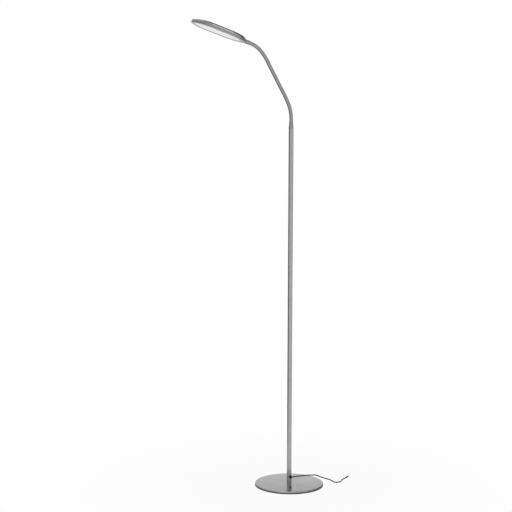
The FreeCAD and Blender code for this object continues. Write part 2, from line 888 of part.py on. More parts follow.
def shell_piece(place):
    """Top shell: crowned and hollow, with screw bosses, board ribs and holes for button and neck."""
    outer = crowned("shell_outer", head_outline, size.frame_thickness, 0)
    bevel(outer, size.head_edge_bevel, upper_rim(head_outline))
    core_outline = inset(head_outline, size.shell_wall)
    core = crowned("shell_core", core_outline, size.frame_thickness, size.shell_wall)
    bevel(core, size.shell_core_bevel, upper_rim(core_outline))
    added = [cut("shell_hollow", outer, [core])]
    tools = []
    for side, mark in ((1, "a"), (-1, "b")):
        x, y = size.frame_screw_place, size.frame_screw_offset * side
        low = size.frame_thickness
        added.append(rod("screw_boss_" + mark, size.screw_boss_radius, roof - low, low, x, y))
        pilot = size.screw_radius + size.thread_clearance
        tools.append(rod("screw_pilot_" + mark, pilot, size.screw_length, low, x, y))
    rib_height = roof + size.shell_wall / 2 - board_top
    rib_side = -size.rib_width / 2
    for mark, inward in (
        ("rear", size.rib_inset),
        ("tip", board_length - size.rib_inset - size.shell_wall),
    ):
        rib_place = (size.board_start + inward, rib_side, board_top)
        added.append(block("shell_rib_" + mark, size.shell_wall, size.rib_width, rib_height, *rib_place))
    hole = size.button_radius + size.slide_clearance
    tools.append(rod("button_hole", hole, size.head_height, size.frame_thickness * 2, size.button_place))
    mouth = rod("neck_mouth", size.boss_radius + size.slide_clearance, size.boss_length + size.boss_reach)
    mouth.Placement = Placement(
        Vector(-float(size.boss_reach), 0, float(size.neck_axis_height)), Rotation(Vector(0, 1, 0), 90)
    )
    tools.append(mouth)
    piece(cut("head_top_shell", together("shell_full", added), tools), "head_top_shell", place)


def upper_rim(outline):
    """A test for the edges where the top of a block meets its upright walls."""
    level = float(size.frame_thickness) + float(size.frame_edge)

    def keep(edge):
        box = edge.BoundBox
        upright = box.XLength < FLAT and box.YLength < FLAT
        return box.ZMin > level and not upright and on_wall(edge, outline)

    return keep


def on_wall(edge, outline):
    """Does an edge lie on the upright wall of an outline?"""
    middle = edge.valueAt((edge.FirstParameter + edge.LastParameter) / 2)
    return wall_distance(outline, middle) < ON_WALL


def wall_distance(outline, point):
    """Distance from a point, seen from above, to the wall of a long rounded outline."""
    x, y = point.x, abs(point.y)
    best = float("inf")
    for side, end, radius, shoulder in (
        (1, outline.tip, outline.tip_radius, outline.tip_shoulder),
        (-1, outline.rear, outline.rear_radius, outline.rear_shoulder),
    ):
        middle = float(end) - side * float(radius)
        half = float(outline.half_width)
        reach = math.sqrt((float(shoulder) - float(radius)) ** 2 - (float(shoulder) - half) ** 2)
        start = middle - side * reach
        to_end = abs(math.hypot(x - middle, y) - float(radius))
        to_shoulder = abs(math.hypot(x - start, y - half + float(shoulder)) - float(shoulder))
        best = min(best, to_end, to_shoulder, abs(y - half))
    return best


def frame_piece(place):
    """Lower frame: a flat ring round the window, with a rib inside the shell and the neck's boss."""
    body = document.addObject("PartDesign::Body", "head_frame")
    plan = new_sketch(body, "XY_Plane", "plan")
    oval(plan, head_outline)
    pad(body, plan, size.frame_thickness)
    bevel(body, size.frame_edge, lambda edge: edge.BoundBox.ZMax < FLAT)
    step = new_sketch(body, "XY_Plane", "step", size.frame_lip)
    oval(step, inset(window_outline, -size.window_step))
    pocket(body, step, size.frame_thickness * 2, up=True)
    window = new_sketch(body, "XY_Plane", "window")
    oval(window, window_outline)
    pocket(body, window, size.frame_thickness, up=True)
    tongue = new_sketch(body, "XY_Plane", "tongue", size.frame_thickness)
    tongue_end = size.head_length - size.shell_wall - size.tongue_gap
    tongue_start = tongue_end - size.tongue_thickness
    half = size.tongue_width / 2
    polygon(tongue, ((tongue_start, -half), (tongue_end, -half), (tongue_end, half), (tongue_start, half)))
    pad(body, tongue, size.tongue_height)
    boss = new_sketch(body, "XZ_Plane", "boss", 0, size.neck_axis_height)
    boss_end = size.boss_length - size.boss_reach
    polygon(
        boss,
        (
            (-size.boss_reach, 0),
            (boss_end, 0),
            (boss_end, size.boss_radius - size.boss_chamfer),
            (boss_end - size.boss_chamfer, size.boss_radius),
            (-size.boss_reach, size.boss_radius),
        ),
    )
    turn = body.newObject("PartDesign::Revolution", "boss_turn")
    turn.Profile = boss
    turn.ReferenceAxis = (boss, ["H_Axis"])
    turn.Angle = 360
    bore = new_sketch(body, "YZ_Plane", "bore", -size.boss_reach)
    circle(bore, size.spigot_radius + size.thread_clearance, 0, size.neck_axis_height)
    pocket(body, bore, size.boss_length, up=True)
    holes = new_sketch(body, "XY_Plane", "holes")
    heads = new_sketch(body, "XY_Plane", "heads")
    for side in (1, -1):
        x, y = size.frame_screw_place, size.frame_screw_offset * side
        circle(holes, size.screw_radius + size.slide_clearance, x, y)
        circle(heads, size.screw_head_radius + size.slide_clearance, x, y)
    pocket(body, holes, size.frame_thickness, up=True)
    pocket(body, heads, size.screw_head_height + size.seat_clearance, up=True)
    lock = new_sketch(body, "XY_Plane", "lock", size.neck_axis_height - size.boss_radius)
    circle(lock, size.set_screw_radius + size.thread_clearance, size.set_screw_place)
    pocket(body, lock, size.boss_radius, up=True)
    piece(body, "head_frame", place)


def light_pieces(place):
    """Diffuser, reflector tray, board with its chips, controls and the screws."""
    body = document.addObject("PartDesign::Body", "diffuser")
    sketch = new_sketch(body, "XY_Plane", "plan", size.frame_lip)
    oval(sketch, inset(window_outline, size.slide_clearance - size.window_step))
    pad(body, sketch, size.diffuser_thickness)
    piece(body, "diffuser", place)

    tray = document.addObject("PartDesign::Body", "reflector_tray")
    sketch = new_sketch(tray, "XY_Plane", "plan", diffuser_top)
    tray_outline = inset(window_outline, size.slide_clearance * 2 - size.window_step)
    oval(sketch, tray_outline)
    pad(tray, sketch, size.tray_height)
    sketch = new_sketch(tray, "XY_Plane", "hollow", diffuser_top)
    oval(sketch, inset(tray_outline, size.tray_wall))
    pocket(tray, sketch, size.tray_height - size.tray_top, up=True)
    sketch = new_sketch(tray, "XY_Plane", "slots", tray_top)
    slot_inset = size.chip_margin - size.slot_end_gap
    start, end = size.board_start + slot_inset, size.board_start + board_length - slot_inset
    for side in (1, -1):
        low = size.row_offset * side - size.slot_width / 2
        high = size.row_offset * side + size.slot_width / 2
        polygon(sketch, ((start, low), (end, low), (end, high), (start, high)))
    pocket(tray, sketch, size.tray_top * 2)
    for name, x in (
        ("rib_rear", size.control_start),
        ("rib_tip", size.control_start + size.control_length - size.tray_wall),
    ):
        sketch = new_sketch(tray, "XY_Plane", name, tray_top)
        half = size.control_width / 2
        polygon(sketch, ((x, -half), (x + size.tray_wall, -half), (x + size.tray_wall, half), (x, half)))
        pad(tray, sketch, size.control_rib)
    piece(tray, "reflector_tray", place)

    board = block(
        "led_board",
        board_length,
        size.board_half_width * 2,
        size.board_thickness,
        size.board_start,
        -size.board_half_width,
        tray_top,
    )
    piece(board, "led_board", joined(place, board))
    chips = []
    first = size.board_start + size.chip_margin
    for side in (1, -1):
        for number in range(CHIPS_IN_ROW):
            chips.append(
                block(
                    f"chip_{number}_{'a' if side > 0 else 'b'}",
                    size.chip_length,
                    size.chip_width,
                    size.chip_height,
                    first + number * chip_pitch,
                    size.row_offset * side - size.chip_width / 2,
                    tray_top - size.chip_height,
                )
            )
    piece(group("led_chips", chips), "led_chips", place)
    control = block(
        "control_board",
        size.control_length,
        size.control_width,
        size.control_thickness,
        size.control_start,
        -size.control_width / 2,
        control_low,
    )
    piece(control, "control_board", joined(place, control))
    switch = block(
        "push_switch",
        size.switch_size,
        size.switch_size,
        size.switch_height,
        size.button_place - size.switch_size / 2,
        -size.switch_size / 2,
        control_top,
    )
    piece(switch, "push_switch", joined(place, switch))
    flange_top = roof - size.slide_clearance
    turned(
        "power_button",
        (
            (0, flange_top - size.button_flange),
            (size.button_flange_radius, flange_top - size.button_flange),
            (size.button_flange_radius, flange_top),
            (size.button_radius, flange_top),
            (size.button_radius, size.head_height + size.button_proud),
            (0, size.head_height + size.button_proud),
        ),
        place.multiply(Placement(Vector(float(size.button_place), 0, 0), Rotation())),
    )


def head_lead(place):
    """The lead from the neck's bore, up past the tray's end and on to the control board's edge."""
    low = size.neck_axis_height - (size.wire_hole_radius - size.head_lead_radius) / 2
    high = control_low + size.control_thickness / 2
    corners = [
        Vector(float(x), 0, float(z))
        for x, z in (
            (size.head_lead_start, low),
            (size.head_lead_rise, low),
            (size.head_lead_rise, high),
            (size.control_start, high),
        )
    ]
    lead = bent_lead("head_lead", corners, size.head_lead_bend, size.head_lead_radius)
    lead.Placement = place


def joined(place, item):
    """A place in the head's frame carried on by the item's own place."""
    item.setExpression("Placement.Base.x", None)
    item.setExpression("Placement.Base.y", None)
    item.setExpression("Placement.Base.z", None)
    return place.multiply(item.Placement)


def screw(name, x, y, head_low, length):
    """A pan head screw that stands head down."""
    head = rod(name + "_head", size.screw_head_radius, size.screw_head_height, head_low, x, y)
    shank = rod(name + "_shank", size.screw_radius, length, head_low + size.screw_head_height, x, y)
    return together(name, [head, shank])


def screw_pieces(place):
    """Screws of the frame and the set screw that locks the neck's spigot."""
    frame_screws = []
    for side, mark in ((1, "a"), (-1, "b")):
        frame_screws.append(
            screw(
                "frame_screw_" + mark,
                size.frame_screw_place,
                size.frame_screw_offset * side,
                size.seat_clearance,
                size.screw_length,
            )
        )
    piece(group("frame_screws", frame_screws), "frame_screws", place)
    low = size.neck_axis_height - size.boss_radius + size.slide_clearance
    high = size.neck_axis_height - size.spigot_radius - size.thread_clearance
    turned(
        "neck_set_screw",
        ((0, low), (size.set_screw_radius, low), (size.set_screw_radius, high), (0, high)),
        place.multiply(Placement(Vector(float(size.set_screw_place), 0, 0), Rotation())),
    )


def check_and_write():
    """Stop at any failed object, then write one STEP file for each piece."""
    document.recompute()
    failed = [item.Name for item in document.Objects if {"Invalid", "Error"} & set(item.State)]
    if failed:
        raise RuntimeError(f"failed objects: {failed}")
    for item in PIECES:
        if item.Shape.isNull() or not item.Shape.isValid() or not item.Shape.Solids:
            raise RuntimeError(f"{item.Label} has no valid solid")
    os.makedirs("parts", exist_ok=True)
    for item in PIECES:
        item.Shape.exportStep(f"parts/{item.Label}.step")
        print(f"{item.Label}: {len(item.Shape.Solids)} solid(s), {item.Shape.Volume / 1000:.2f} cm3")


base_pieces()
pole_pieces()
cord_pieces()
neck_pieces()
head = head_place()
shell_piece(head)
frame_piece(head)
light_pieces(head)
screw_pieces(head)
head_lead(head)
check_and_write()
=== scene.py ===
import json
import math

import bmesh
import bpy
from mathutils import Matrix, Vector


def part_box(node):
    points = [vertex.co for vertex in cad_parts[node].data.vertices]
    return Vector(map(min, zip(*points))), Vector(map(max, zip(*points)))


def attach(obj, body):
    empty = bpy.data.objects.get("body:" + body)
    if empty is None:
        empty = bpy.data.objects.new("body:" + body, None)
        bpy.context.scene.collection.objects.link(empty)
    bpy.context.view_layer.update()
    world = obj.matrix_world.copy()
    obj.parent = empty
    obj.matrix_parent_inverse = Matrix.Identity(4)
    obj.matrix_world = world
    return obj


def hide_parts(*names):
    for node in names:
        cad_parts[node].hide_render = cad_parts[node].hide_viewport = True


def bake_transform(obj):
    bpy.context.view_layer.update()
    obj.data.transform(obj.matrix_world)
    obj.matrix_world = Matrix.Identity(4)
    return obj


# A gooseneck reading floor lamp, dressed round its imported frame. Metres. The origin is the middle of
# the base's underside, +Z is up and the head reaches towards -Y.

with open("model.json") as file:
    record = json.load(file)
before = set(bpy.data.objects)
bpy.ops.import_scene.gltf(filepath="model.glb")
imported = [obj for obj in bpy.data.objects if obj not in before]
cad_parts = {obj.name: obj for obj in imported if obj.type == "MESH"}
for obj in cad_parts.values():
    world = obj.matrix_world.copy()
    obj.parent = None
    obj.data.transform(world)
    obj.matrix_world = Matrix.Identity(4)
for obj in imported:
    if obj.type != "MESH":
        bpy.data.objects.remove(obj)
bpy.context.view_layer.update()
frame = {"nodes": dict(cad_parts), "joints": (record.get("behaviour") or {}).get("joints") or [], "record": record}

NODES = frame["nodes"]
JOINTS = {joint["name"]: joint for joint in frame["joints"]}

# The photograph's view: where the lens stands, where it looks and how long it is.
VIEW_TURN = math.radians(60)
CAMERA_DISTANCE = 4.0
CAMERA_HEIGHT = 1.145
CAMERA_YAW = math.radians(-1.639)
CAMERA_PITCH = math.radians(5.254)
CAMERA_ROLL = math.radians(0.182)
CAMERA_LENS = 84.81

# The neck's line, from the ferrule's top to the collar.
NECK_JOINTS = (
    "lower_bend", "lower_bend_2", "neck_swing", "lower_bend_3", "upper_bend",
    "neck_swing_2", "upper_bend_2", "upper_bend_3", "neck_swing_3",
)
HOSE_RADIUS = 0.006
RIBS_IN_LINK = 15
RIB_GROOVE = 0.00016
HOSE_SIDES = 40
HOSE_LAP = 0.0006
HOSE_SMOOTH_ANGLE = math.radians(80)
FERRULE_TOP = 0.0248
COLLAR_LENGTH = 0.018

# One rib of the hose: the place along it and the share of the groove's depth there.
RIB_SHAPE = ((0.0, 1.0), (0.1, 0.55), (0.24, 0.12), (0.5, 0.0), (0.76, 0.12), (0.9, 0.55))

# Turned outlines of the neck's two ends, as radius and height. The ferrule's stands on the pole's
# top and the collar's on the neck's last joint.
WIRE_BORE = 0.0026
PLUG_RADIUS = 0.004
PLUG_DEPTH = 0.013
SPIGOT_RADIUS = 0.0045
SPIGOT_END = 0.028
FERRULE_OUTLINE = (
    (WIRE_BORE, -PLUG_DEPTH), (PLUG_RADIUS, -PLUG_DEPTH), (PLUG_RADIUS, 0.0), (0.0078, 0.0),
    (0.008, 0.0003), (0.008, 0.0022), (0.00785, 0.0042), (0.0076, 0.0066), (0.0073, 0.0094),
    (0.00702, 0.0122), (0.0068, 0.015), (0.00667, 0.018), (0.0066, 0.021), (0.00658, 0.0241),
    (0.0064, 0.0245), (0.0061, FERRULE_TOP), (WIRE_BORE, FERRULE_TOP),
)
COLLAR_OUTLINE = (
    (WIRE_BORE, 0.0), (0.0061, 0.0), (0.0064, 0.0003), (0.0066, 0.0012), (0.0067, 0.004),
    (0.0067, 0.0147), (0.0065, 0.015), (SPIGOT_RADIUS, 0.015), (SPIGOT_RADIUS, 0.0278),
    (0.0043, SPIGOT_END), (WIRE_BORE, SPIGOT_END),
)

# The light head, in its own frame: x to the tip, y across, z out of its top.
HEAD_AXIS_HEIGHT = 0.006
HEAD_LENGTH = 0.196
HEAD_HALF_WIDTH = 0.033
HEAD_HEIGHT = 0.0165
TIP_RADIUS = 0.019
TIP_SHOULDER = 0.095
REAR_RADIUS = 0.017
REAR_SHOULDER = 0.110
TIP_SLOPE = 0.050
TIP_DROP = 0.0065
REAR_SLOPE = 0.026
REAR_DROP = 0.0044
FRAME_THICKNESS = 0.0032
SHELL_WALL = 0.002
SHELL_EDGE = 0.0068
BUTTON_PLACE = 0.045
BUTTON_HOLE = 0.0062
BUTTON_CUT = 0.012
MOUTH_RADIUS = 0.0072
MOUTH_REACH = 0.011
MOUTH_SPARE = 0.01
SHOULDER_STEPS = 14
END_STEPS = 22
SIDE_STEPS = 10
WALL_STEPS = 3
ROUND_STEPS = 8
TOP_RINGS = (0.12, 0.3, 0.5, 0.7, 0.88, 1.0)

# The free cord lies along these given points; the first is its exit from the grommet.
CORD_RADIUS = 0.002
CORD_ROUTE = (
    (0.0120, 0.0000, 0.0290), (0.0175, 0.0000, 0.0295), (0.0265, 0.0055, 0.0340),
    (0.0335, 0.0175, 0.0350), (0.0320, 0.0360, 0.0345), (0.0210, 0.0585, 0.0305),
    (0.0045, 0.0830, 0.0230), (-0.0130, 0.1060, 0.0170), (-0.0235, 0.1245, 0.0105),
    (-0.0220, 0.1365, 0.0040), (-0.0105, 0.1435, 0.0020), (0.0065, 0.1480, 0.0020),
    (0.0240, 0.1510, 0.0020), (0.0380, 0.1500, 0.0020), (0.0485, 0.1480, 0.0020),
    (0.0555, 0.1520, 0.0020), (0.0590, 0.1635, 0.0020), (0.0550, 0.1720, 0.0020),
    (0.0445, 0.1815, 0.0020), (0.0330, 0.1960, 0.0023), (0.0240, 0.2125, 0.0028),
)

# The connector on the cord's end, as radius and distance along the cord, with a ridged grip.
CONNECTOR_SIDES = 48
GRIP_RADIUS = 0.0027
GRIP_GROOVE = 0.00025
GRIP_START = 0.0006
GRIP_PITCH = 0.0008
GRIP_STEPS = 8
CONNECTOR_END = 0.012
PIN_OUTLINE = (
    (0, CONNECTOR_END), (0.00175, CONNECTOR_END), (0.00175, 0.0195), (0.0015, 0.0199),
    (0.0009, 0.02), (0.0009, 0.0185), (0, 0.0185),
)

# The base: the rounding of the disc's edges, its bolt's hole and recess, and the pad's edge.
UPPER_ROUND = 0.0018
LOWER_ROUND = 0.0004
BOLT_HOLE = 0.0042
BOLT_RECESS = 0.0067
BOLT_RECESS_DEPTH = 0.0036
DISC_SIDES = 192
PAD_SIDES = 128
PAD_ROUND = 0.0006
PAD_ROUND_MIDDLE = 0.0002

SMOOTH_ANGLE = math.radians(35)

# Grain of the finishes: noise scale, how far the gloss wanders, and the bump's strength and depth.
METAL_GRAIN = 2600.0
METAL_GLOSS_SPREAD = 0.05
METAL_BUMP = (0.06, 0.00004)
PLASTIC_GLOSS_SPREAD = 0.04
PLASTIC_BUMP = 0.25
# The diffuser's painted glow: an emission that brightens its downward face in place of light it does not get.
OPAL_PAINTED_GLOW = 0.5
STEEL = (0.385, 0.385, 0.39)

# The room that the metal mirrors: its dark sides, each with the axis of a cone, the cone's inner and
# outer half angle and how much of the light it takes away.
DARK_SIDES = {
    "left": ((-0.643, -0.766, 0.0), (32, 46), 0.8),
    "right": ((-0.17, 0.97, 0.17), (28, 42), 0.6),
    "high": ((0.0, 0.65, 0.76), (30, 44), 0.85),
    "front": ((0.61, -0.35, 0.71), (26, 40), 0.25),
}
LEFT_TOP = (0.1, 0.26)
UPPER_ROOM = 0.82
UPPER_RANGE = (0.1, 0.25)
ROOM_LIGHT = 0.8

# Soft square lamps: name, place, target, power and width.
LAMPS = (
    ("key", (2.98, 1.8, 2.96), (0, -0.27, 1.5), 11.0, 1.3),
    ("top", (0.4, -0.6, 4.4), (0, 0, 0), 38.0, 3.2),
)

# The floor: its half width and grey, and the distances from the lamp over which it turns white to
# the eye, grows bright in the metal, and comes out of the dark under the disc's edge.
FLOOR_HALF = 12
FLOOR_GREY = 0.36
AWAY_RANGE = (0.2, 1.1)
NEAR_SHARE = 0.96
MIRRORED_RANGE = (0.12, 0.23)
MIRRORED_LEAST = 0.05
UNDER_RANGE = (0.1135, 0.1175)


def linked(name, data):
    """A new object of some data, put in the scene."""
    item = bpy.data.objects.new(name, data)
    bpy.context.scene.collection.objects.link(item)
    return item


def make_camera():
    """The lens at the photograph's place, with its small turn to the left and its slight roll."""
    data = bpy.data.cameras.new("camera")
    data.lens = CAMERA_LENS
    data.sensor_width = 36
    data.clip_end = 50
    camera = linked("camera", data)
    ahead = Vector((
        math.sin(CAMERA_YAW) * math.cos(CAMERA_PITCH),
        math.cos(CAMERA_YAW) * math.cos(CAMERA_PITCH),
        -math.sin(CAMERA_PITCH),
    ))
    right = Vector((math.cos(CAMERA_YAW), -math.sin(CAMERA_YAW), 0))
    up = right.cross(ahead)
    rolled_right = right * math.cos(CAMERA_ROLL) + up * math.sin(CAMERA_ROLL)
    rolled_up = up * math.cos(CAMERA_ROLL) - right * math.sin(CAMERA_ROLL)
    turn = Matrix((rolled_right, rolled_up, -ahead)).transposed().to_4x4()
    place = Matrix.Translation((0, -CAMERA_DISTANCE, CAMERA_HEIGHT))
    camera.matrix_world = Matrix.Rotation(VIEW_TURN, 4, "Z") @ place @ turn
    bpy.context.scene.camera = camera


def add_node(tree, kind, **values):
    """A shader node with some of its sockets or properties set."""
    node = tree.nodes.new(kind)
    for name, value in values.items():
        if name in node.inputs:
            node.inputs[name].default_value = value
        else:
            setattr(node, name, value)
    return node


def new_material(name, metallic, roughness):
    """A material with its node tree and its main shader."""
    material = bpy.data.materials.new(name)
    material.use_nodes = True
    tree = material.node_tree
    shader = tree.nodes["Principled BSDF"]
    shader.inputs["Metallic"].default_value = metallic
    shader.inputs["Roughness"].default_value = roughness
    return material, tree, shader


def noise_at(tree, scale, stretch=(1, 1, 1), detail=3.0):
    """Noise in the piece's own space, drawn out along an axis by a stretch."""
    place = add_node(tree, "ShaderNodeTexCoord")
    mapping = add_node(tree, "ShaderNodeMapping")
    mapping.inputs["Scale"].default_value = stretch
    noise = add_node(tree, "ShaderNodeTexNoise", Scale=scale, Detail=detail)
    tree.links.new(place.outputs["Object"], mapping.inputs["Vector"])
    tree.links.new(mapping.outputs["Vector"], noise.inputs["Vector"])
    return noise


def ranged(tree, source, middle, spread_by):
    """Let a noise move a value to both sides of its middle."""
    spread = add_node(tree, "ShaderNodeMapRange")
    spread.inputs["From Min"].default_value = 0.3
    spread.inputs["From Max"].default_value = 0.7
    spread.inputs["To Min"].default_value = middle - spread_by
    spread.inputs["To Max"].default_value = middle + spread_by
    tree.links.new(source, spread.inputs["Value"])
    return spread.outputs["Result"]


def tinted(tree, shader, source, dark, light):
    """Let the base colour wander between two near shades."""
    ramp = add_node(tree, "ShaderNodeValToRGB")
    ramp.color_ramp.elements[0].position = 0.3
    ramp.color_ramp.elements[0].color = (*dark, 1)
    ramp.color_ramp.elements[1].position = 0.7
    ramp.color_ramp.elements[1].color = (*light, 1)
    tree.links.new(source, ramp.inputs["Fac"])
    tree.links.new(ramp.outputs["Color"], shader.inputs["Base Color"])


def bumped(tree, shader, source, strength, depth):
    """Let a noise raise and lower the surface a little."""
    bump = add_node(tree, "ShaderNodeBump", Strength=strength, Distance=depth)
    tree.links.new(source, bump.inputs["Height"])
    tree.links.new(bump.outputs["Normal"], shader.inputs["Normal"])


def shade(colour, factor):
    """A colour made darker or lighter."""
    return tuple(min(channel * factor, 1.0) for channel in colour)


def satin_metal(name, colour, roughness, stretch=(1, 1, 1), turned_grain=0.0):
    """Satin metal: a fine drawn grain in gloss and bump, with slightly cloudy tone."""
    material, tree, shader = new_material(name, 1.0, roughness)
    fine = noise_at(tree, METAL_GRAIN, stretch, 4.0)
    cloud = noise_at(tree, 18.0)
    tinted(tree, shader, cloud.outputs["Fac"], shade(colour, 0.95), shade(colour, 1.05))
    gloss = ranged(tree, fine.outputs["Fac"], roughness, METAL_GLOSS_SPREAD)
    tree.links.new(gloss, shader.inputs["Roughness"])
    bumped(tree, shader, fine.outputs["Fac"], *METAL_BUMP)
    if turned_grain:
        shader.inputs["Anisotropic"].default_value = turned_grain
        shader.inputs["Anisotropic Rotation"].default_value = 0.25
        round_axis = add_node(tree, "ShaderNodeTangent", direction_type="RADIAL", axis="Z")
        tree.links.new(round_axis.outputs["Tangent"], shader.inputs["Tangent"])
    return material


def fine_plastic(name, colour, roughness, grain=4500.0, depth=0.00003):
    """Plastic or rubber: a moulded grain in the bump and a little unevenness in tone and gloss."""
    material, tree, shader = new_material(name, 0.0, roughness)
    fine = noise_at(tree, grain, detail=2.0)
    cloud = noise_at(tree, 60.0)
    tinted(tree, shader, cloud.outputs["Fac"], shade(colour, 0.92), shade(colour, 1.08))
    gloss = ranged(tree, cloud.outputs["Fac"], roughness, PLASTIC_GLOSS_SPREAD)
    tree.links.new(gloss, shader.inputs["Roughness"])
    bumped(tree, shader, fine.outputs["Fac"], PLASTIC_BUMP, depth)
    return material


def opal_plastic(name):
    """The diffuser: milky plastic, with a painted glow in its emission that brightens its downward face."""
    material, tree, shader = new_material(name, 0.0, 0.38)
    cloud = noise_at(tree, 25.0)
    tinted(tree, shader, cloud.outputs["Fac"], (0.76, 0.76, 0.75), (0.82, 0.82, 0.81))
    # Painted glow: this emission brightens the downward face in place of light falling on it.
    shader.inputs["Emission Color"].default_value = (1.0, 0.99, 0.97, 1)
    shader.inputs["Emission Strength"].default_value = OPAL_PAINTED_GLOW
    fine = noise_at(tree, 3000.0)
    bumped(tree, shader, fine.outputs["Fac"], 0.1, 0.00003)
    return material


materials = {
    "base_steel": satin_metal("base_steel", (0.41, 0.41, 0.415), 0.22, turned_grain=0.5),
    "satin_steel": satin_metal("satin_steel", STEEL, 0.26, (1, 1, 0.04)),
    "neck_metal": satin_metal("neck_metal", (0.3, 0.3, 0.305), 0.26),
    "head_metal": satin_metal("head_metal", (0.29, 0.29, 0.295), 0.22),
    "zinc_steel": satin_metal("zinc_steel", (0.62, 0.62, 0.61), 0.3),
    "contact_metal": satin_metal("contact_metal", (0.7, 0.68, 0.63), 0.22),
    "pad_foam": fine_plastic("pad_foam", (0.04, 0.04, 0.04), 0.95, 1400.0, 0.0002),
    "black_rubber": fine_plastic("black_rubber", (0.018, 0.018, 0.018), 0.55),
    "cord_jacket": fine_plastic("cord_jacket", (0.02, 0.02, 0.02), 0.42),
    "black_plastic": fine_plastic("black_plastic", (0.02, 0.02, 0.02), 0.5),
    "opal_plastic": opal_plastic("opal_plastic"),
    "white_plastic": fine_plastic("white_plastic", (0.82, 0.82, 0.81), 0.5),
    "circuit_board": fine_plastic("circuit_board", (0.75, 0.76, 0.74), 0.35),
    "chip_resin": fine_plastic("chip_resin", (0.82, 0.68, 0.18), 0.3),
}


def dress(item, slot_name):
    """Give a piece its finish."""
    item.data.materials.clear()
    item.data.materials.append(materials[slot_name])


def dress_nodes():
    """Every node that the CAD model brings gets the finish of its slot."""
    for part in frame["record"]["subparts"]:
        node = NODES[part["node"]]
        for place in node.material_slots:
            place.material = materials[part["material_slot"]]


def smooth_shaded(mesh_data, smooth_angle):
    """Smooth faces, with sharp edges kept where the surface really turns."""
    for face in mesh_data.faces:
        face.smooth = True
    for edge in mesh_data.edges:
        edge.smooth = len(edge.link_faces) != 2 or edge.calc_face_angle(0) < smooth_angle


def mesh_from(name, mesh_data):
    """Put worked mesh data into a new mesh."""
    mesh = bpy.data.meshes.new(name)
    mesh_data.to_mesh(mesh)
    mesh_data.free()
    return mesh


def mesh_piece(name, mesh_data, slot_name, body=None, smooth_angle=SMOOTH_ANGLE):
    """Turn worked mesh data into a finished piece, on a body if one is named."""
    bmesh.ops.recalc_face_normals(mesh_data, faces=mesh_data.faces)
    smooth_shaded(mesh_data, smooth_angle)
    item = linked(name, mesh_from(name, mesh_data))
    dress(item, slot_name)
    if body:
        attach(item, body)
    return item


def bridge(mesh_data, lower, upper):
    """Quads between two rings of the same count."""
    count = len(lower)
    for one in range(count):
        other = (one + 1) % count
        mesh_data.faces.new((lower[one], lower[other], upper[other], upper[one]))


def turned(name, profile, place, slot_name, body, sides=72):
    """A turned piece: a closed outline in radius and height about the local Z axis of its place."""
    mesh_data = bmesh.new()
    rings = []
    for radius, height in profile:
        ring = []
        for side in range(sides):
            angle = 2 * math.pi * side / sides
            point = Vector((radius * math.cos(angle), radius * math.sin(angle), height))
            ring.append(mesh_data.verts.new(place @ point))
        rings.append(ring)
    for lower, upper in zip(rings, rings[1:] + rings[:1]):
        bridge(mesh_data, lower, upper)
    bmesh.ops.remove_doubles(mesh_data, verts=mesh_data.verts, dist=1e-7)
    return mesh_piece(name, mesh_data, slot_name, body)


def pointing(direction, axis, upward):
    """A turn that points one local axis along a direction."""
    return direction.to_track_quat(axis, upward).to_matrix().to_4x4()


def arc(middle, radius, start, end, steps):
    """Points of an arc in a profile, from one angle to another in degrees."""
    points = []
    for step in range(steps + 1):
        angle = math.radians(start + (end - start) * step / steps)
        points.append((middle[0] + radius * math.cos(angle), middle[1] + radius * math.sin(angle)))
    return points


neck_centres = [Vector(JOINTS[name]["pos_m"]) for name in NECK_JOINTS]
head_out = -Vector(JOINTS["power_button_press"]["axis"]).normalized()
head_along = Vector((0, -head_out.z, head_out.y))
head_origin = neck_centres[-1] + head_along * COLLAR_LENGTH - head_out * HEAD_AXIS_HEIGHT
head_turn = Matrix((head_along, Vector((1, 0, 0)), head_out)).transposed().to_4x4()
head_place = Matrix.Translation(head_origin) @ head_turn
pole_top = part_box("pole_upper")[1].z


def hose_spans():
    """Smooth stretches of the neck's line, one to a link, each with its ends and end directions."""
    ends = zip(neck_centres, neck_centres[1:])
    directions = [(after - before).normalized() for before, after in ends]
    slopes = [Vector((0, 0, 1))]
    for before, after in zip(directions, directions[1:]):
        slopes.append((before + after).normalized())
    slopes.append(head_along)
    return [
        (neck_centres[link], neck_centres[link + 1], slopes[link], slopes[link + 1])
        for link in range(len(directions))
    ]


def on_span(span, t):
    """Point and direction on one smooth stretch, at a share of its length."""
    start, end, leave, arrive = span
    length = (end - start).length
    point = (
        start * (2 * t**3 - 3 * t**2 + 1)
        + leave * (length * (t**3 - 2 * t**2 + t))
        + end * (3 * t**2 - 2 * t**3)
        + arrive * (length * (t**3 - t**2))
    )
    slope = (
        start * (6 * t**2 - 6 * t)
        + leave * (length * (3 * t**2 - 4 * t + 1))
        + end * (6 * t - 6 * t**2)
        + arrive * (length * (3 * t**2 - 2 * t))
    )
    return point, slope.normalized()


def hose_pieces():
    """The ribbed neck, cut at each link's middle, where one piece bends over one joint."""
    spans = hose_spans()
    half = RIBS_IN_LINK // 2
    for number in range(len(spans) + 1):
        stations = []
        if number == 0:
            foot = Vector((0, 0, pole_top + FERRULE_TOP - HOSE_LAP))
            for share in (0, 0.5):
                stations.append((foot.lerp(neck_centres[0], share), Vector((0, 0, 1)), 0.5))
        else:
            stations += rib_stations(spans[number - 1], half, RIBS_IN_LINK)
        if number == len(spans):
            stations.append((neck_centres[-1] + head_along * HOSE_LAP, head_along, 1.0))
        else:
            stations += rib_stations(spans[number], 0, half)
            stations.append((*on_span(spans[number], half / RIBS_IN_LINK), 1.0))
        item = hose_piece(f"neck_hose_{number + 1}", stations)
        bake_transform(item)
        if 0 < number <= len(spans):
            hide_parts(f"neck_link_{number:02d}")


